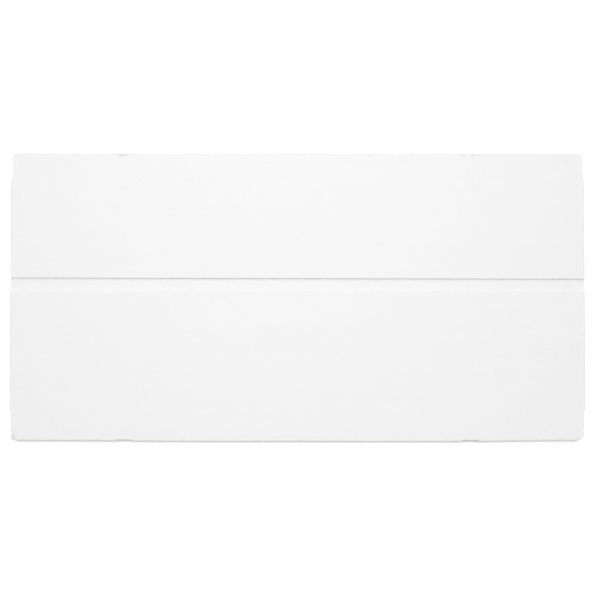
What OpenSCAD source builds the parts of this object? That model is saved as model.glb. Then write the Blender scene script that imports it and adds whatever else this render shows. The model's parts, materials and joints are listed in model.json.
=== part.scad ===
// Foam wall panel: one board of wire-cut expanded polystyrene, lying on its back.
// +X runs along the board, +Y towards its upper long edge, and +Z out of the
// grooved face. The origin is on the back, under the middle of the board.
// All sizes are in millimetres.

/* [Board] */
// Length of the board
board_l = 1200; // [900:10:2400]
// Width of the board, from its lower to its upper long edge
board_w = 600; // [450:10:1200]
// Thickness of the board
board_t = 50; // [30:5:150]
// Radius of the softened arrises round both faces
arris_r = 1.5; // [1:0.5:6]
// Radius of the two upper upright corners
upper_corner_r = 4; // [1:0.5:10]
// Radius of the two lower upright corners, which are knocked rounder
lower_corner_r = 7; // [1:0.5:12]

/* [Groove] */
// Distance from the upper long edge to the groove's square lip
groove_from_top = 261; // [100:1:300]
// Width of the groove between its walls
groove_w = 26; // [15:1:60]
// Depth of the groove below the face
groove_d = 10; // [5:1:20]
// Width of the shallow slope that eases the groove's lower lip
lip_w = 3.5; // [1:0.5:8]
// Depth of that slope where it meets the groove's wall
lip_d = 1; // [0.5:0.5:3]

/* [Strap bites] */
// Distance from each end of the board to the middle of a strap bite
strap_from_end = 240; // [120:10:400]
// Width of a bite along the face's arris
bite_w = 38; // [20:1:60]
// Depth of a bite into the long edge, at the face
bite_d = 2.5; // [1:0.5:5]
// Height of a bite: its slope reaches the full edge this far below the face
bite_h = 10; // [5:1:25]

/* [Pressed ends] */
// Length of the end that is pressed in below each upper corner
upper_press_l = 46; // [20:1:90]
// Depth of the pressing below each upper corner
upper_press_d = 3.2; // [0.5:0.1:5]
// Length of the end that is pressed in above each lower corner
lower_press_l = 55; // [20:1:90]
// Depth of the pressing above each lower corner
lower_press_d = 2.6; // [0.5:0.1:5]
// Length of the slope from a pressed stretch to the full end
press_slope = 14; // [5:1:30]

/* [Hidden] */

$fn = 96;
// Distance by which a cutter runs past the faces that it cuts
past = 1;
foam_white = [0.97, 0.97, 0.96];

upper_edge = board_w / 2;
lower_edge = -board_w / 2;
end_x = board_l / 2;
groove_top = upper_edge - groove_from_top;
groove_bottom = groove_top - groove_w;
groove_floor = board_t - groove_d;

// At the face a bite is an arc of this radius: bite_w is its chord and bite_d its rise
bite_r = (pow(bite_w / 2, 2) + pow(bite_d, 2)) / (2 * bite_d);
// How much the radius of a bite shrinks for each millimetre below the face
bite_slope = bite_d / bite_h;

// What has to go to round off a square corner: the corner is at [r, r]
module corner_wedge(r) {
    difference() {
        square(r);
        circle(r);
    }
}

// Rectangle from x0 to x1 and from 0 to h, with its four corners rounded
module softened_bar(x0, x1, h, r) {
    difference() {
        translate([x0, 0])
            square([x1 - x0, h]);
        translate([x1 - r, h - r])
            corner_wedge(r);
        translate([x0 + r, h - r])
            mirror([1, 0])
                corner_wedge(r);
        translate([x1 - r, r])
            mirror([0, 1])
                corner_wedge(r);
        translate([x0 + r, r])
            rotate(180)
                corner_wedge(r);
    }
}

// Cutter for the eased lip: its slope runs out of the face, and past the groove's wall
module lip_wedge() {
    run = lip_w * past / lip_d;
    polygon([
        [-lip_w - run, past],
        [0, -lip_d],
        [past, -lip_d],
        [past, past]
    ]);
}

// Section across the board, with width along X and thickness along Y:
// the groove's upper lip is square, and its lower lip is eased
module cross_section() {
    difference() {
        softened_bar(lower_edge, upper_edge, board_t, arris_r);
        translate([groove_bottom, groove_floor])
            square([groove_w, groove_d + past]);
        translate([groove_bottom, board_t])
            lip_wedge();
    }
}

// The cross section drawn out along the board
module grooved_length() {
    rotate([90, 0, 90])
        translate([0, 0, -end_x])
            linear_extrude(board_l)
                cross_section();
}

// A stretch of the board from y0 to y1 whose ends have softened arrises,
// each end standing back by the given depth
module softened_ends(y0, y1, depth) {
    translate([0, y1, 0])
        rotate([90, 0, 0])
            linear_extrude(y1 - y0)
                softened_bar(depth - end_x, end_x - depth, board_t, arris_r);
}

// Half of the outline in plan: the end at +X with its two pressed stretches
module end_outline() {
    polygon([
        [0, lower_edge],
        [end_x - lower_press_d, lower_edge],
        [end_x - lower_press_d, lower_edge + lower_press_l],
        [end_x, lower_edge + lower_press_l + press_slope],
        [end_x, upper_edge - upper_press_l - press_slope],
        [end_x - upper_press_d, upper_edge - upper_press_l],
        [end_x - upper_press_d, upper_edge],
        [0, upper_edge]
    ]);
}

// The same half with its upright corners rounded
module rounded_end_outline() {
    difference() {
        end_outline();
        translate([end_x - upper_press_d - upper_corner_r, upper_edge - upper_corner_r])
            corner_wedge(upper_corner_r);
        translate([end_x - lower_press_d - lower_corner_r, lower_edge + lower_corner_r])
            mirror([0, 1])
                corner_wedge(lower_corner_r);
    }
}

// Outline of the whole board in plan, taken through its thickness
module plan_block() {
    linear_extrude(board_t) {
        rounded_end_outline();
        mirror([1, 0])
            rounded_end_outline();
    }
}

// Block whose ends are softened both at full length and where they are pressed in.
// The pressed stretches meet inside the full one, which laps over them both
module end_block() {
    softened_ends(lower_edge + lower_press_l, upper_edge - upper_press_l, 0);
    softened_ends(lower_edge, 0, lower_press_d);
    softened_ends(0, upper_edge, upper_press_d);
}

// Cone that crushes one strap bite into the face's arris. It has the bite's radius
// at the face, and narrows downwards until it has left the board
module bite_cone() {
    translate([0, 0, board_t - bite_h - past])
        cylinder(
            h = bite_h + 2 * past,
            r1 = bite_r - bite_d - bite_slope * past,
            r2 = bite_r + bite_slope * past
        );
}

// The four strap bites, facing each other across the board
module strap_bites() {
    for (side_x = [-1, 1], side_y = [-1, 1])
        translate([
            side_x * (end_x - strap_from_end),
            side_y * (upper_edge + bite_r - bite_d),
            0
        ])
            bite_cone();
}

module foam_panel() {
    color(foam_white)
        difference() {
            intersection() {
                grooved_length();
                end_block();
                plan_block();
            }
            strap_bites();
        }
}

foam_panel();
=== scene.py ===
# %% [markdown]
# # A foam wall panel
#
# The real panel is one board of white expanded polystyrene, cut from a block with a
# hot wire and grooved along its face. It could be shown as a plain box with a white
# paint, but foam is recognised by small things: arrises that have gone soft, dents
# from the packing straps, corners that were pressed in, and a face of cut beads that
# lets a little light through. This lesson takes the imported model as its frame, cuts a
# finer board over it, wears that board as handling does, and gives it a foam that is
# made of noise and cells only.

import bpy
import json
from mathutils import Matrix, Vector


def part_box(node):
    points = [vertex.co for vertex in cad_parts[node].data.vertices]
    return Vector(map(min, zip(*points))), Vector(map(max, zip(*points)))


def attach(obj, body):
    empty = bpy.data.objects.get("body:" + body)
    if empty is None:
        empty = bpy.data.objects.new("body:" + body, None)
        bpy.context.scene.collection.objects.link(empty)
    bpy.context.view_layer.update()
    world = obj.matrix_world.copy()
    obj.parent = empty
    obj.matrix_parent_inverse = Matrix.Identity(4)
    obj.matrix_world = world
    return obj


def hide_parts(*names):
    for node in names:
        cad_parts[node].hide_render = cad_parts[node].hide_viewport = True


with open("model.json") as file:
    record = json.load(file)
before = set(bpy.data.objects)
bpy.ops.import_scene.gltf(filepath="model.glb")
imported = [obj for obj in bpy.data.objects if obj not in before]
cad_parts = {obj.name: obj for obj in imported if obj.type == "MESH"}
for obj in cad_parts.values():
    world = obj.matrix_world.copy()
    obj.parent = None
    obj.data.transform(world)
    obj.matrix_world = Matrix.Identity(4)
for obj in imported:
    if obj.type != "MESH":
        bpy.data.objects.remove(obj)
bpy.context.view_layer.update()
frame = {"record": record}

# %% Tools of the lesson
import json
import math

import bmesh
import bpy
from mathutils import Vector, noise

MM = 0.001
print("lengths are in metres, and a millimetre is", MM)

# %% [markdown]
# ## Sizes
#
# Whatever the frame knows is read from it: the board's box, and the place of the
# groove's floor, which is a mount. The few sizes that the frame can't tell are named
# where they are first needed. They have the construction's values, so that the worn
# board follows the solid that it covers, and only the wear goes beyond them.

# %% Measure the board and its groove
low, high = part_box("foam_panel")
board_l = high.x - low.x
board_w = high.y - low.y
board_t = high.z - low.z
mounts = {mount["name"]: mount for mount in frame["record"]["mounts"]}
groove_mid_y = mounts["groove_floor"]["pos_m"][1]
groove_floor_z = mounts["groove_floor"]["pos_m"][2]
groove_w = 26 * MM
groove_top_y = groove_mid_y + groove_w / 2
groove_low_y = groove_mid_y - groove_w / 2
print(f"board {board_l:.3f} x {board_w:.3f} x {board_t:.3f} m")
print(f"groove from y {groove_low_y:.3f} to {groove_top_y:.3f}, floor at z {groove_floor_z:.3f}")

# %% [markdown]
# ## The board
#
# A hot wire leaves the same section from end to end, so the board is made that way.
# The section starts as nine corners, with the slope that eases the groove's lower
# lip. Bevelling the corners gives the arrises and takes the keenness off the lips.
# Planes cut the section into strips, so that the board's ends will have cells as
# well. One extrusion draws it out, and one subdivision lays rings across it. A box
# with a boolean groove would have the same outline, but its long thin faces could not
# take a dent.

# %% Draw the section
lip_w = 3.5 * MM
lip_d = 1 * MM
mesh = bmesh.new()
outline = [
    (low.y, low.z),
    (high.y, low.z),
    (high.y, high.z),
    (groove_top_y, high.z),
    (groove_top_y, groove_floor_z),
    (groove_low_y, groove_floor_z),
    (groove_low_y, high.z - lip_d),
    (groove_low_y - lip_w, high.z),
    (low.y, high.z),
]
corners = [mesh.verts.new((low.x, y, z)) for y, z in outline]
mesh.faces.new(corners)
print("corners in the section", len(mesh.verts))


# %% Round the section's corners
def round_corners(chosen, radius, segments):
    """Rounds some corners of the flat section with arcs."""
    bmesh.ops.bevel(
        mesh,
        geom=chosen,
        offset=radius,
        offset_type="OFFSET",
        segments=segments,
        profile=0.5,
        affect="VERTICES",
        material=-1,
    )


arris_r = 1.5 * MM
upper_lip_r = 0.5 * MM
lower_lip_r = 0.25 * MM
back_arrises = [corners[0], corners[1]]
face_arrises = [corners[2], corners[8]]
upper_lip = corners[3]
lower_lip = corners[6]
round_corners(back_arrises, arris_r, segments=3)
round_corners(face_arrises, arris_r, segments=4)
round_corners([upper_lip], upper_lip_r, segments=2)
round_corners([lower_lip], lower_lip_r, segments=2)
print("points in the section", len(mesh.verts))


# %% Cut the section into layers and wide strips
def slice_mesh(place, direction, faces):
    """Cuts some of the faces with a plane at right angles to a direction."""
    edges = {edge for face in faces for edge in face.edges}
    verts = {vert for face in faces for vert in face.verts}
    bmesh.ops.bisect_plane(
        mesh,
        geom=[*verts, *edges, *faces],
        dist=1e-6,
        plane_co=Vector(direction) * place,
        plane_no=direction,
    )


layers = [8 * MM, 17 * MM, 26 * MM, 34 * MM, 39.5 * MM, 42.5 * MM, 45.5 * MM]
for place in layers:
    slice_mesh(place, (0, 0, 1), mesh.faces[:])

# the ends are pressed in beside the corners, with a slope up to the full length
upper_press = {"length": 46 * MM, "depth": 3.2 * MM}
lower_press = {"length": 55 * MM, "depth": 2.6 * MM}
press_slope = 14 * MM
upper_slope = high.y - upper_press["length"] - press_slope
lower_slope = low.y + lower_press["length"]
slope_cuts = 4
slope_places = [press_slope * step / slope_cuts for step in range(slope_cuts + 1)]
wide_strips = [low.y + step * MM for step in (3, 5, 7, 10, 30)]
wide_strips += [lower_slope + place for place in slope_places]
wide_strips += [step * MM for step in (-150, -50, 50, 150)]
wide_strips += [upper_slope + place for place in slope_places]
wide_strips += [high.y - step * MM for step in (20, 5, 3)]
for place in wide_strips:
    slice_mesh(place, (0, 1, 0), mesh.faces[:])
print("layers", len(layers), "and cuts through all of them", len(wide_strips))


# %% Cut the face into fine strips
def steps_between(start, end, fine, coarse, growth=1.3):
    """Places from start to end, close together at both ends and wider apart between."""
    middle = (start + end) / 2
    places = []
    step = fine
    place = start + fine
    while place < middle - step / 2:
        places.append(place)
        step = min(step * growth, coarse)
        place += step
    return places + [middle] + [start + end - place for place in reversed(places)]


fine = 1.6 * MM
coarse = 13 * MM
groove_coarse = 5 * MM
fine_strips = steps_between(low.y + arris_r, groove_low_y - lip_w, fine, coarse)
fine_strips += steps_between(groove_low_y, groove_top_y, fine, groove_coarse)
fine_strips += steps_between(groove_top_y + upper_lip_r, high.y - arris_r, fine, coarse)
fine_above = layers[3]  # only the layers under the face are cut finely
for place in fine_strips:
    upper_faces = [face for face in mesh.faces if face.calc_center_median().z > fine_above]
    slice_mesh(place, (0, 1, 0), upper_faces)
print("fine cuts in the face", len(fine_strips))

# %% Draw the board out and ring it
ring_step = 2 * MM
ring_count = round(board_l / ring_step)
drawn = bmesh.ops.extrude_face_region(mesh, geom=mesh.faces[:], use_keep_orig=True)
far_end = [item for item in drawn["geom"] if isinstance(item, bmesh.types.BMVert)]
bmesh.ops.translate(mesh, verts=far_end, vec=(board_l, 0, 0))
long_edges = [e for e in mesh.edges if abs(e.verts[0].co.x - e.verts[1].co.x) > board_l / 2]
bmesh.ops.subdivide_edges(mesh, edges=long_edges, cuts=ring_count - 1, use_grid_fill=True)
bmesh.ops.recalc_face_normals(mesh, faces=mesh.faces[:])
print("rings", ring_count + 1, "faces", len(mesh.faces))

# %% [markdown]
# ## Soft ends
#
# The arrises along the board came with the section, but the two ends are still sharp.
# An edge bevel would stumble where the arris meets the groove. Instead the last rings
# close up: they slide to the places of a quarter circle, and the outer skin of the
# section shrinks by the same circle, so that the arris turns every corner and the
# groove keeps its walls.

# %% Close up the last rings
end_x = board_l / 2
arc_steps = 4


def ring_place(index):
    """Distance of a ring from the nearest end, and how far its skin is drawn in."""
    from_end = min(index, ring_count - index)
    if from_end >= arc_steps:
        along = (from_end - arc_steps) / (ring_count / 2 - arc_steps)
        return arris_r + along * (end_x - arris_r), 0.0
    turn = math.pi / 2 * (1 - from_end / arc_steps)
    return arris_r * (1 - math.sin(turn)), arris_r * (1 - math.cos(turn))


for vert in mesh.verts:
    index = round((vert.co.x - low.x) / ring_step)
    distance, drawn_in = ring_place(index)
    side = -1 if index < ring_count / 2 else 1
    vert.co.x = side * (end_x - distance)
    if drawn_in > 0:
        core_y = min(max(vert.co.y, low.y + arris_r), high.y - arris_r)
        core_z = min(max(vert.co.z, low.z + arris_r), high.z - arris_r)
        keep = 1 - drawn_in / arris_r
        vert.co.y = core_y + (vert.co.y - core_y) * keep
        vert.co.z = core_z + (vert.co.z - core_z) * keep
bmesh.ops.remove_doubles(mesh, verts=mesh.verts[:], dist=0.01 * MM)
print("faces after closing the ends", len(mesh.faces))

# %% [markdown]
# ## Straps and corners
#
# Boards travel in strapped bundles. Where a strap turns over the top board it crushes
# the arris of the face: the bite is deepest at the face and slopes out to the full
# edge a little way down. On this board the straps have bitten hard into the lower
# edge and hardly into the upper one. The bundle's corners are knocked in, which leaves
# the ends short beside every corner, and the upright corners are worn round. The
# lower edge, on which the board is stood, runs up a little beyond the straps. All of
# these are moves of the skin that fade out inside the board, as foam gives way when
# it is squeezed. Cutting the same shapes out would leave edges that foam doesn't have.
# The groove's upper wall is moved as well, since the cutter ran a little askew.


# %% Wear the upright corners round
def ease(t):
    """0 below 0, 1 above 1, and smooth between."""
    t = min(max(t, 0.0), 1.0)
    return t * t * (3 - 2 * t)


def inset(vert):
    """How far a point stands in from the nearest end and from the nearest long edge."""
    return end_x - abs(vert.co.x), board_w / 2 - abs(vert.co.y)


def sides(vert):
    """Signs of the nearest end and of the nearest long edge."""
    return int(math.copysign(1, vert.co.x)), int(math.copysign(1, vert.co.y))


# what belongs to one corner is kept under the signs of its end and of its long edge
corner_r = {(-1, -1): 5 * MM, (1, -1): 13 * MM, (-1, 1): 4 * MM, (1, 1): 4 * MM}
# the number "sawn" is 1 on the four narrow sides, and 0 on the face and the back
sawn = mesh.verts.layers.float.new("sawn")
sawn_skin = 0.2 * MM
rounded = 0
for vert in mesh.verts:
    side_x, side_y = sides(vert)
    from_end, from_edge = inset(vert)
    vert[sawn] = 1.0 if min(from_end, from_edge) < sawn_skin else 0.0
    radius = corner_r[side_x, side_y]
    u = 1 - from_end / radius
    v = 1 - from_edge / radius
    if u > 0 and v > 0:
        # a square of points is squeezed into a quarter of a disc
        vert.co.x = side_x * (end_x - radius * (1 - u * math.sqrt(1 - v * v / 2)))
        vert.co.y = side_y * (board_w / 2 - radius * (1 - v * math.sqrt(1 - u * u / 2)))
        rounded += 1
print("points moved at the upright corners", rounded)

# %% Shape the strap bites and the pressed ends
strap_x = end_x - 240 * MM
bite_w = 38 * MM
bite_d = 2.5 * MM
bite_h = 10 * MM
bite_r = ((bite_w / 2) ** 2 + bite_d**2) / (2 * bite_d)


def bite_at(x, below_face):
    """Depth of a strap bite at a place along the board, some way below the face."""
    away = abs(abs(x) - strap_x)
    radius = bite_r - below_face * bite_d / bite_h
    if away >= radius:
        return 0.0
    return max(math.sqrt(radius**2 - away**2) - (bite_r - bite_d), 0.0)


def press_at(y):
    """How far the end stands back at a place across the board."""
    upper = ease((y - upper_slope) / press_slope)
    lower = ease((lower_slope + press_slope - y) / press_slope)
    return upper * upper_press["depth"] + lower * lower_press["depth"]


print(f"straps crossed at x = +-{strap_x:.3f} m, bites {bite_at(strap_x, 0) / MM:.1f} mm deep")
print(f"ends pressed in {press_at(high.y) / MM:.1f} mm above, {press_at(low.y) / MM:.1f} mm below")

# %% Shape the slack edge and the askew groove
lower_slack = {
    # under the sign of the end: how deep it is at the end, where it starts and its run
    -1: {"depth": 1.6 * MM, "start": 260 * MM, "run": 240 * MM},
    1: {"depth": 2.6 * MM, "start": 330 * MM, "run": 270 * MM},
}
wall_slope = -0.00134
drift_give = 40 * MM


def slack_at(x, side_y):
    """How far the lower edge stands back beyond the straps, where it was stood on."""
    if side_y > 0:
        return 0.0
    slack = lower_slack[-1 if x < 0 else 1]
    return slack["depth"] * ease((abs(x) - slack["start"]) / slack["run"])


def drift_at(x, y):
    """How far the groove's upper wall has run out of parallel, as the cutter wandered."""
    above = ease((y - groove_low_y) / groove_w)
    return wall_slope * x * above * (1 - ease((y - groove_top_y) / drift_give))


print(f"slack {slack_at(low.x, -1) / MM:.1f} mm left and {slack_at(high.x, -1) / MM:.1f} mm right")
print(f"groove wall off by {abs(drift_at(high.x, groove_top_y)) / MM:.1f} mm at each end")

# %% Move the skin
bite_share = {(-1, -1): 1.0, (1, -1): 0.95, (-1, 1): 0.15, (1, 1): 0.15}
end_give = 45 * MM
strap_give = 18 * MM
drift_above = groove_floor_z - 1 * MM
for vert in mesh.verts:
    side_x, side_y = sides(vert)
    from_end, from_edge = inset(vert)
    bite = bite_at(vert.co.x, high.z - vert.co.z) * bite_share[side_x, side_y]
    slack = slack_at(vert.co.x, side_y)
    drift = drift_at(vert.co.x, vert.co.y) if vert.co.z > drift_above else 0.0
    vert.co.x -= side_x * press_at(vert.co.y) * (1 - ease(from_end / end_give))
    vert.co.y -= side_y * bite * (1 - ease(from_edge / strap_give))
    vert.co.y -= side_y * slack * (1 - ease(from_edge / end_give))
    vert.co.y += drift
print(f"the moves fade out {strap_give / MM:.0f} to {end_give / MM:.0f} mm inside the board")

# %% [markdown]
# ## Handling
#
# Foam doesn't scratch, it loses beads. A knocked arris is a row of small bites the
# size of a bead or two, and some stretches have many while others have none. The
# moves below push the skin inwards: a light crumble that comes and goes along every
# arris of the face, and then chips at chosen places. Each amount fades with the
# distance from the arris, so that the face itself stays flat. Each step also adds to a
# number that every point carries, its grime and shade, which the foam's colour reads
# later: partly the dirt that broken foam picks up, and partly painted shade in the
# pits, the bites and along the arrises. A painted image could hold it as well, but it
# would have to be fitted to the chips by hand.

# %% Measure the beads and the arrises
bead = 4 * MM


def lumps(point, size):
    """Bead-sized lumps: 0 in the joints between the beads and 1 on top of them."""
    return 1 - min(noise.voronoi(point / size)[0][0], 1.0)


def ragged(point, size, least):
    """Share of a loss: all of it in the joints, and the least on top of the beads."""
    return least + (1 - least) * (1 - lumps(point, size))


def arris_distance(vert):
    """Distance from the nearest outer arris of the face."""
    from_end, from_edge = inset(vert)
    return math.hypot(min(from_end, from_edge), high.z - vert.co.z)


def bell(distance, reach):
    """1 at no distance, about a third at the reach, and next to nothing at twice that."""
    return math.exp(-((distance / reach) ** 2))


print(f"beads are {bead / MM:.0f} mm across")

# %% Push a point in, and add dirt and painted shade to it
push_share = 0.7  # of a push, as much goes down as goes in
# each point's amount of dirt and painted shade, which the foam's colour reads
grime = mesh.verts.layers.float.new("grime")


def push_in(vert, amount):
    """Pushes a point of an arris down and in."""
    side_x, side_y = sides(vert)
    from_end, from_edge = inset(vert)
    step = amount * push_share
    vert.co.z -= step
    if from_edge < from_end:
        vert.co.y -= side_y * step
    else:
        vert.co.x -= side_x * step


def add_dirt_and_shade(vert, amount):
    """Adds dirt and painted shade to a point, up to 1."""
    vert[grime] = min(vert[grime] + amount, 1.0)


print("every point carries the numbers", mesh.verts.layers.float.keys())

# %% Crumble the arrises
worn_stretch = 45 * MM
worn_least = 0.15
worn_blend = 0.35
sound_share = 0.1
crumble = 0.35 * MM
crumble_reach = 3 * MM
# the crumbled pits are darkened: partly dirt, partly painted shade in the pits
crumble_shade_and_dirt = 0.1


def worn(point):
    """1 where a stretch is worn, 0 where it is sound, and a blend between."""
    return ease((noise.noise(point / worn_stretch) - worn_least) / worn_blend)


crumbled = 0
for vert in mesh.verts:
    distance = arris_distance(vert)
    if distance < 3 * crumble_reach:
        fade = bell(distance, crumble_reach)
        share = sound_share + (1 - sound_share) * worn(vert.co)
        pits = 1 - lumps(vert.co, bead)
        push_in(vert, crumble * fade * share * pits)
        add_dirt_and_shade(vert, crumble_shade_and_dirt * fade * share * pits)
        crumbled += 1
print("points along the arrises", crumbled)

# %% List the chips
upper_chips = [
    # place along the board, half length and depth, in millimetres
    (-587, 6, 0.6),
    (-537, 12, 0.2),
    (-403, 6, 0.3),
    (-371, 5, 0.9),
    (-361, 6, 0.5),
    (-136, 9, 0.35),
    (-21, 8, 0.5),
    (31, 6, 0.4),
    (63, 6, 0.3),
    (152, 5, 0.4),
    (215, 7, 0.5),
    (238, 5, 0.3),
    (263, 5, 0.3),
    (345, 6, 0.4),
    (366, 5, 0.5),
    (380, 5, 0.5),
    (470, 5, 0.3),
    (570, 5, 0.55),
]
lower_chips = [
    (-418, 6, 0.3),
    (-372, 8, 1.0),
    (-350, 8, 0.8),
    (-238, 6, 0.4),
    (-81, 7, 0.2),
    (-38, 6, 0.2),
    (6, 9, 0.2),
    (349, 6, 0.8),
    (374, 6, 0.9),
    (414, 6, 0.2),
    (547, 7, 0.6),
]
print("chips", len(upper_chips), "along the upper edge and", len(lower_chips), "along the lower")

# %% Chip the arrises
chip_reach = 3.2 * MM
chip_limit = 9 * MM
chip_lump = 0.8 * bead
chip_least = 0.45
# the chips are darkened: partly dirt, partly painted shade in the broken pits
chip_shade_and_dirt = 0.25
chipped = 0
for side, chips in ((1, upper_chips), (-1, lower_chips)):
    edge_verts = [v for v in mesh.verts if side * v.co.y > 0 and arris_distance(v) < chip_limit]
    for place, reach, depth in chips:
        for vert in edge_verts:
            along = abs(vert.co.x - place * MM) / (reach * MM)
            if along < 1:
                fade = (1 - along**2) * bell(arris_distance(vert), chip_reach)
                share = ragged(vert.co, chip_lump, chip_least)
                push_in(vert, depth * MM * fade * share)
                add_dirt_and_shade(vert, chip_shade_and_dirt * depth * fade * share)
                chipped += 1
print("points pushed in by the chips", chipped)

# %% Paint shade, with some dirt, into the bites, and along the arrises and ends
# the bites are painted dark: painted shade of the crushed notches, with some dirt rubbed in by the
# straps
bite_shade_and_dirt = {(-1, -1): 1.0, (1, -1): 1.0, (-1, 1): 0.1, (1, 1): 0.07}
bite_spread = 1.6
bite_shade_reach = {-1: 2.5 * MM, 1: 6 * MM}
bite_shade_drop = 14 * MM
# thin lines of painted shade along the arrises of the long edges and of the ends
edge_shade = {-1: 0.02, 1: 0.1}
edge_shade_reach = 1.2 * MM
end_shade = {-1: 0.12, 1: 0.04}
end_shade_reach = 2 * MM
unmarked_inset = 12 * MM
unmarked_depth = 25 * MM
for vert in mesh.verts:
    side_x, side_y = sides(vert)
    from_end, from_edge = inset(vert)
    below_face = high.z - vert.co.z
    if min(from_end, from_edge) > unmarked_inset or below_face > unmarked_depth:
        continue
    if from_edge < from_end:
        crushed = min(bite_spread * bite_at(vert.co.x, 0) / bite_d, 1.0)
        fade = (1 - ease(from_edge / bite_shade_reach[side_y])) * (1 - ease(below_face / bite_shade_drop))
        add_dirt_and_shade(vert, bite_shade_and_dirt[side_x, side_y] * crushed * fade)
        add_dirt_and_shade(vert, edge_shade[side_y] * bell(arris_distance(vert), edge_shade_reach))
    else:
        add_dirt_and_shade(vert, end_shade[side_x] * bell(arris_distance(vert), end_shade_reach))
darkened = sum(1 for vert in mesh.verts if vert[grime] > 0.1)
print("soiled points", darkened)


# %% Paint shade on a few places beside the edges
def off_middle(vert, along, across, half_l, half_w):
    """Squared distance from the middle of an ellipse on the face, with 1 on its rim."""
    du = (vert.co.x / MM - along) / half_l
    dv = (vert.co.y / MM - across) / half_w
    return du * du + dv * dv


# dark spots of painted shade beside the upper strap bites and at the two lower corners
shade_spots = [
    # middle along and across, half sizes along and across in millimetres, and amount
    (-370, 296, 9, 8, 0.12),
    (-361, 297, 12, 6, 0.08),
    (346, 296, 8, 6, 0.05),
    (366, 295, 7, 7, 0.07),
    (379, 296, 7, 7, 0.07),
    (-591, -293, 6, 11, 0.2),
    (582, -298, 9, 6, 0.1),
]
shade_spot_depth = 6 * MM
for vert in mesh.verts:
    if vert.co.z < high.z - shade_spot_depth:
        continue
    for *ellipse, amount in shade_spots:
        add_dirt_and_shade(vert, amount * (1 - ease(math.sqrt(off_middle(vert, *ellipse)))))
print("shade_spots", len(shade_spots))

# %% [markdown]
# ## Dents
#
# The face is flat apart from a handful of dents: the crushed ground beside each
# strap, a few knocks near the upper edge and two of the corners, and two marks on the
# lower half. The lower edge is also rubbed down a little from end to end, because
# boards are stood on it. Displacement by a texture would roughen the whole face,
# while these places are few and known. So each dent is an ellipse with a depth, and
# its floor is lumpy, because some beads crush further than others.

# %% Dent the face
dents = [
    # middle along and across, half sizes along and across, and depth, in millimetres
    (-350, 284, 26, 20, 0.9),
    (372, 286, 20, 16, 0.8),
    (243, 288, 28, 16, 0.8),
    (576, 276, 20, 34, 0.9),
    (378, 242, 46, 14, 0.4),
    (-345, 252, 28, 24, 0.4),
    (-362, -290, 24, 10, 0.8),
    (362, -290, 22, 10, 0.8),
    (-592, -290, 9, 12, 1.2),
    (240, -96, 5, 30, 0.5),
    (341, -171, 12, 6, 0.5),
]
dent_lump = 1.3 * bead
dent_least = 0.35
rub = 0.6 * MM
rub_reach = 13 * MM
dented_above = groove_floor_z + 2 * MM
for vert in mesh.verts:
    if vert.co.z < dented_above:
        continue
    drop = 0.0
    for *ellipse, depth in dents:
        away = off_middle(vert, *ellipse)
        if away < 1:
            drop += depth * MM * (1 - away) * ragged(vert.co, dent_lump, dent_least)
    drop += rub * (1 - ease((vert.co.y - low.y) / rub_reach))
    vert.co.z -= drop
print("dents", len(dents))

# %% Turn the mesh into an object
crease = math.radians(50)
board_mesh = bpy.data.meshes.new("foam_board")
mesh.to_mesh(board_mesh)
mesh.free()
board = bpy.data.objects.new("foam_board", board_mesh)
bpy.context.scene.collection.objects.link(board)
board_mesh.polygons.foreach_set("use_smooth", [True] * len(board_mesh.polygons))
board_mesh.set_sharp_from_angle(angle=crease)
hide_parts("foam_panel")
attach(board, "root")
print("faces", len(board_mesh.polygons))

# %% [markdown]
# ## A way to write materials
#
# Node trees are easier to read as sums. The first class wraps a socket and turns +, -
# and * into Math nodes. The second holds one material's tree and has one method
# through which every other node comes.


# %% Sums of sockets
class Socket:
    """The output of a shader node, ready to be written into a sum."""

    def __init__(self, recipe, socket):
        self.recipe = recipe
        self.socket = socket

    def __add__(self, other):
        return self.recipe.math("ADD", self, other)

    def __radd__(self, other):
        return self.recipe.math("ADD", other, self)

    def __sub__(self, other):
        return self.recipe.math("SUBTRACT", self, other)

    def __rsub__(self, other):
        return self.recipe.math("SUBTRACT", other, self)

    def __mul__(self, other):
        return self.recipe.math("MULTIPLY", self, other)

    def __rmul__(self, other):
        return self.recipe.math("MULTIPLY", other, self)

    def sibling(self, name):
        """Another output of the same node."""
        return Socket(self.recipe, self.socket.node.outputs[name])


print("sockets can be added, subtracted and multiplied")


# %% One material's tree
class Recipe:
    """The node tree of one material or world."""

    def __init__(self, owner):
        owner.use_nodes = True
        self.tree = owner.node_tree
        self.tree.nodes.clear()

    def node(self, kind, settings=None, inputs=None, output=0):
        """Adds a node: its settings first, then the values or links of its sockets."""
        made = self.tree.nodes.new("ShaderNode" + kind)
        for name, value in (settings or {}).items():
            setattr(made, name, value)
        for name, value in (inputs or {}).items():
            if isinstance(value, Socket):
                self.tree.links.new(value.socket, made.inputs[name])
            else:
                made.inputs[name].default_value = value
        return Socket(self, made.outputs[output]) if len(made.outputs) else made

    def math(self, operation, first, second=0.0, clamp=False):
        """A Math node on two values, or on the first of them alone."""
        settings = {"operation": operation, "use_clamp": clamp}
        return self.node("Math", settings, {0: first, 1: second})

    def mix(self, factor, first, second):
        """A colour between two colours, through the colour sockets of a Mix node."""
        settings = {"data_type": "RGBA"}
        return self.node("Mix", settings, {0: factor, 6: first, 7: second}, output=2)


def grey(value):
    """A colour that is as bright in red and green as in blue."""
    return (value, value, value, 1)


print("a grey is written as", grey(0.5))

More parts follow.
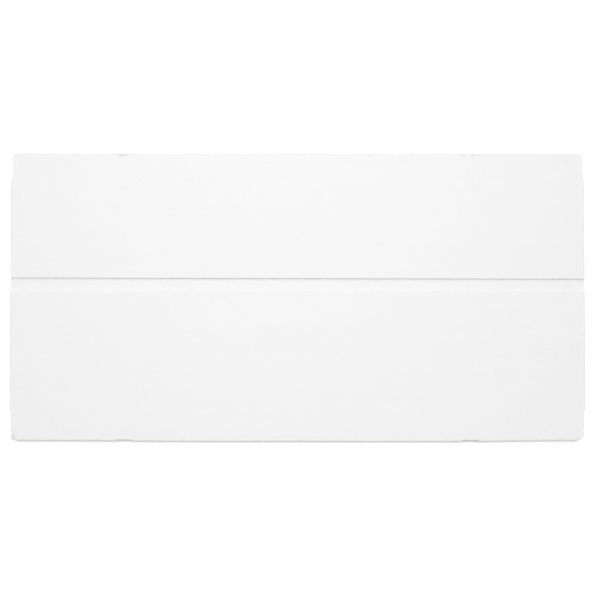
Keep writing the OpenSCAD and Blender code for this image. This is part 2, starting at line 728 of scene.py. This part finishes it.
# %% [markdown]
# ## Foam
#
# Expanded polystyrene is a pack of closed beads, each a few millimetres across. The
# wire cuts them open flat, so the face is smooth to the hand, and shows as a faint net
# of joints with a tiny void where three beads meet. Cells of a Voronoi pattern are the
# beads: the distance to a cell's edge draws the joints, and its own colour makes one
# bead a little whiter than the next. On the narrow sides, which are cut across the
# block, the beads stand out more. A noise stretched along the board is the wire's
# stutter, and wider noises are the clouds and streaks of a block that swelled
# unevenly. A picture of foam would show its repeats on a board of this length, and a
# pattern of noise has none. The light that sinks in and comes out again is a small
# constant amount of subsurface scattering, which is also what keeps shadows in foam
# pale.

# %% Draw the beads
foam = bpy.data.materials.new("foam_white")
recipe = Recipe(foam)
place = recipe.node("TexCoord", output="Object")
sway = 2.2 * MM
wobble_noise = {"Vector": place, "Scale": 160.0, "Detail": 1.0}
wobble = recipe.node("TexNoise", None, wobble_noise, output="Color")
bend = {0: wobble, 1: (sway, sway, sway), 2: place}
bent = recipe.node("VectorMath", {"operation": "MULTIPLY_ADD"}, bend)
cells = {"Vector": bent, "Scale": 1 / bead, "Randomness": 0.9}
edge_distance = recipe.node("TexVoronoi", {"feature": "DISTANCE_TO_EDGE"}, cells)
middle_distance = recipe.node("TexVoronoi", {"feature": "F1"}, cells)
bead_tone = recipe.node("SeparateColor", None, {"Color": middle_distance.sibling("Color")})
print("nodes for the beads", len(recipe.tree.nodes))

# %% Draw the joints and the voids
joint_sharpness = 11.0
joint = recipe.math("SUBTRACT", 1.0, edge_distance * joint_sharpness, clamp=True)
speckle = recipe.node("TexNoise", None, {"Vector": place, "Scale": 700.0, "Detail": 1.0})
sparse = speckle * 9.0 - 5.1
void = recipe.math("MULTIPLY", joint, sparse, clamp=True)
side = recipe.node("Attribute", {"attribute_name": "sawn"}, output="Fac")
print("nodes with the joints and voids", len(recipe.tree.nodes))

# %% Draw the wire's lines and the clouds
wire_place = recipe.node("Mapping", None, {"Vector": place, "Scale": (3.0, 220.0, 220.0)})
wire = recipe.node("TexNoise", None, {"Vector": wire_place, "Scale": 1.0, "Detail": 2.0})
streak_place = recipe.node("Mapping", None, {"Vector": place, "Scale": (2.5, 45.0, 45.0)})
streak = recipe.node("TexNoise", None, {"Vector": streak_place, "Scale": 1.0, "Detail": 3.0})
cloud = recipe.node("TexNoise", None, {"Vector": place, "Scale": 5.0, "Detail": 3.0})
patch = recipe.node("TexNoise", None, {"Vector": place, "Scale": 24.0, "Detail": 2.0})
print("nodes with the lines and clouds", len(recipe.tree.nodes))

# %% Colour the foam
bead_grey = grey(0.9)
bead_white = grey(0.935)
joint_grey = grey(0.82)
void_grey = (0.62, 0.62, 0.615, 1)
shade_grey = grey(0.86)
joint_strength = 0.07 + side * 0.55
void_strength = 0.2 + side * 0.6
shade = cloud * 0.1 + patch * 0.15 + streak * 0.2
body = recipe.mix(bead_tone * 0.2, bead_grey, bead_white)
body = recipe.mix(joint * joint_strength, body, joint_grey)
body = recipe.mix(void * void_strength, body, void_grey)
body = recipe.mix(shade, body, shade_grey)
print("nodes with the foam's colour", len(recipe.tree.nodes))

# %% [markdown]
# ## Use, dirt and painted shade
#
# White foam shows every touch. The groove is painted a little darker, as painted shade
# in the recess, and the long edge that the board is stood on has yellowed faintly. Both
# follow a place on the board, so the coordinates alone can mask them. The dark brown in
# the bites, chips, arrises and a few spots beside the edges is partly dirt and partly
# painted shade. It follows the wear, so it is read from the number that the points carry.
# It is broken up by a fine noise and by the beads, because dirt holds better on some
# beads than on others, and an even stain looks scorched.

# %% Yellow the edge and paint shade into the groove
yellowed = (0.9, 0.9, 0.855, 1)
yellow_share = 0.8
# the groove is painted a little darker below its lips: painted shade in the recess
groove_shade_grey = grey(0.855)
groove_shade_share = 0.3
groove_shade_below = high.z - 3 * MM
axes = recipe.node("SeparateXYZ", None, {"Vector": place})
across = axes.sibling("Y")
upward = axes.sibling("Z")
stand = {"Value": across, "From Min": low.y + 12 * MM, "From Max": low.y + 3 * MM}
stood_on = recipe.node("MapRange", None, stand)
body = recipe.mix(stood_on * yellow_share, body, yellowed)
from_groove = recipe.math("ABSOLUTE", across - groove_mid_y)
near_groove = recipe.math("LESS_THAN", from_groove, groove_w)
in_groove = recipe.math("LESS_THAN", upward, groove_shade_below) * near_groove
body = recipe.mix(in_groove * groove_shade_share, body, groove_shade_grey)
print("nodes with the dust", len(recipe.tree.nodes))

# %% Add the dirt and painted shade
# dark brown for the dirt and the painted shade in the bites, chips, arrises and spots
dirt_and_shade_brown = (0.12, 0.11, 0.095, 1)
darkened = recipe.node("Attribute", {"attribute_name": "grime"}, output="Fac")
broken = recipe.node("TexNoise", None, {"Vector": place, "Scale": 420.0, "Detail": 2.0})
mottle = broken * 0.9 + bead_tone * 1.1
dirt_and_shade = recipe.math("MULTIPLY", darkened, mottle, clamp=True)
body = recipe.mix(dirt_and_shade, body, dirt_and_shade_brown)
print("nodes with the grime", len(recipe.tree.nodes))

# %% Finish the foam
dish = middle_distance * middle_distance * -0.3
height = dish + joint * -0.05 + void * -0.2 + bead_tone * 0.04 + wire * 0.05
relief = 0.4 + side * 1.4
bumps = {"Strength": 1.0, "Distance": 1 * MM, "Height": height * relief}
surface = recipe.node(
    "BsdfPrincipled",
    None,
    {
        "Base Color": body,
        "Roughness": 0.6 + bead_tone * 0.12,
        "IOR": 1.35,
        "Subsurface Weight": 0.25,
        "Subsurface Radius": (1.0, 1.0, 1.0),
        "Subsurface Scale": 6 * MM,
        "Normal": recipe.node("Bump", None, bumps),
    },
)
recipe.node("OutputMaterial", None, {"Surface": surface})
board_mesh.materials.append(foam)
print("nodes of the whole foam", len(recipe.tree.nodes))

# %% [markdown]
# ## Floor
#
# The board lies on pale paper. Under lamps that suit white foam, white paper looks
# grey, and more light would bleach the board. So the paper glows as well, for the
# camera's own rays only, which adds nothing to the light on the board. The glow is
# weak along the long edges, so that the board's shadow shows there, and full past the
# ends and far away. A plain white backdrop would be simpler, but the board would seem
# to float on it.

# %% Lay the floor
floor_gap = 0.2 * MM
floor_mesh = bpy.data.meshes.new("floor")
sheet = bmesh.new()
bmesh.ops.create_grid(sheet, x_segments=1, y_segments=1, size=8.0)
bmesh.ops.translate(sheet, verts=sheet.verts[:], vec=(0, 0, low.z - floor_gap))
sheet.to_mesh(floor_mesh)
sheet.free()
floor = bpy.data.objects.new("floor", floor_mesh)
bpy.context.scene.collection.objects.link(floor)
print(f"floor {floor_gap / MM:.1f} mm below the board")

# %% Let the floor glow
paper = bpy.data.materials.new("paper")
recipe = Recipe(paper)


def glow_rise(distance, start, end):
    """0 up to one distance, 1 beyond another, and smooth between."""
    settings = {"interpolation_type": "SMOOTHSTEP"}
    span = {"Value": distance, "From Min": start, "From Max": end}
    return recipe.node("MapRange", settings, span)


camera_ray = recipe.node("LightPath", output="Is Camera Ray")
spot = recipe.node("TexCoord", output="Object")
spot_axes = recipe.node("SeparateXYZ", None, {"Vector": spot})
along = recipe.math("ABSOLUTE", spot_axes.sibling("X"))
across = recipe.math("ABSOLUTE", spot_axes.sibling("Y"))
from_middle = recipe.node("VectorMath", {"operation": "LENGTH"}, {0: spot}, output="Value")
past_side = glow_rise(across, board_w / 2 + 5 * MM, board_w / 2 + 15 * MM)
past_end = glow_rise(along, end_x - 15 * MM, end_x + 25 * MM)
far_away = glow_rise(from_middle, 700 * MM, 1200 * MM)
shadow_glow = grey(0.14)
side_glow = grey(0.19)
full_glow = grey(1)
glow_colour = recipe.mix(past_side, shadow_glow, side_glow)
glow_colour = recipe.mix(past_end, glow_colour, full_glow)
glow_colour = recipe.mix(far_away, glow_colour, full_glow)
seen = recipe.mix(camera_ray, grey(0), glow_colour)
glow = recipe.node("Emission", None, {"Color": seen, "Strength": 1.0})
matt = recipe.node("BsdfDiffuse", None, {"Color": grey(0.94)})
both = recipe.node("AddShader", None, {0: glow, 1: matt})
recipe.node("OutputMaterial", None, {"Surface": both})
floor_mesh.materials.append(paper)
print("nodes of the paper", len(recipe.tree.nodes))

# %% [markdown]
# ## Light and camera
#
# The board is looked at from almost straight above. A small key lamp hangs high up, a
# little towards the upper edge, and draws the thin dark line under the groove's
# square lip. A wider lamp hangs lower, past the upper edge, and its light falls off
# towards the lower edge and the ends. A faint one past the lower edge lightens the
# side that faces it. The rest comes from all round. That light alone would be enough
# to see the board by, but the groove and the dents would hardly show.

# %% Fill the room with light
world = bpy.data.worlds.new("room")
bpy.context.scene.world = world
recipe = Recipe(world)
path = recipe.node("LightPath")
camera_ray = path.sibling("Is Camera Ray")
glossy_ray = path.sibling("Is Glossy Ray")
through_ray = path.sibling("Is Transmission Ray")
direct = recipe.math("ADD", camera_ray + glossy_ray, through_ray, clamp=True)
ambient = 0.48
around = recipe.mix(direct, grey(ambient), grey(1))
room = recipe.node("Background", None, {"Color": around, "Strength": 1.0})
recipe.node("OutputWorld", None, {"Surface": room})
print("light from all round", ambient)


# %% Hang the lamps
def hang_lamp(name, size, place, aim, share):
    """Hangs a round lamp that gives the place it aims at a share of a full white light."""
    spot = Vector(place)
    throw = Vector(aim) - spot
    data = bpy.data.lights.new(name, "AREA")
    data.shape = "DISK"
    data.size = size
    data.energy = share * (math.pi * throw.length) ** 2
    lamp = bpy.data.objects.new(name, data)
    lamp.location = spot
    lamp.rotation_euler = throw.to_track_quat("-Z", "Y").to_euler()
    bpy.context.scene.collection.objects.link(lamp)
    print(f"{name}: {data.energy:.0f} W from {throw.length:.2f} m")


face_middle = (0, 0, high.z)
lower_side = (0, low.y, high.z)
hang_lamp("key", size=0.1, place=(0, 0.82, 8.0), aim=face_middle, share=0.36)
hang_lamp("near lamp", size=0.9, place=(-0.06, 0.634, 1.41), aim=face_middle, share=0.196)
hang_lamp("bounce", size=0.9, place=(0, -1.2, 0.95), aim=lower_side, share=0.05)

# %% Set the camera
eye_height = 2.9
eye_shift = -80 * MM
aim_shift = -1.1 * MM
turn = math.radians(0.05)
camera_data = bpy.data.cameras.new("camera")
camera_data.sensor_width = 36.0
camera_data.lens = 84.15
camera = bpy.data.objects.new("camera", camera_data)
eye = Vector((0, eye_shift, high.z + eye_height))
sight = Vector((0, aim_shift, high.z)) - eye
camera.location = eye
camera.rotation_euler = sight.to_track_quat("-Z", "Y").to_euler()
camera.rotation_euler.rotate_axis("Z", turn)
bpy.context.scene.collection.objects.link(camera)
bpy.context.scene.camera = camera
bpy.context.scene.view_settings.view_transform = "Standard"
print(f"camera {sight.length:.2f} m from the board")
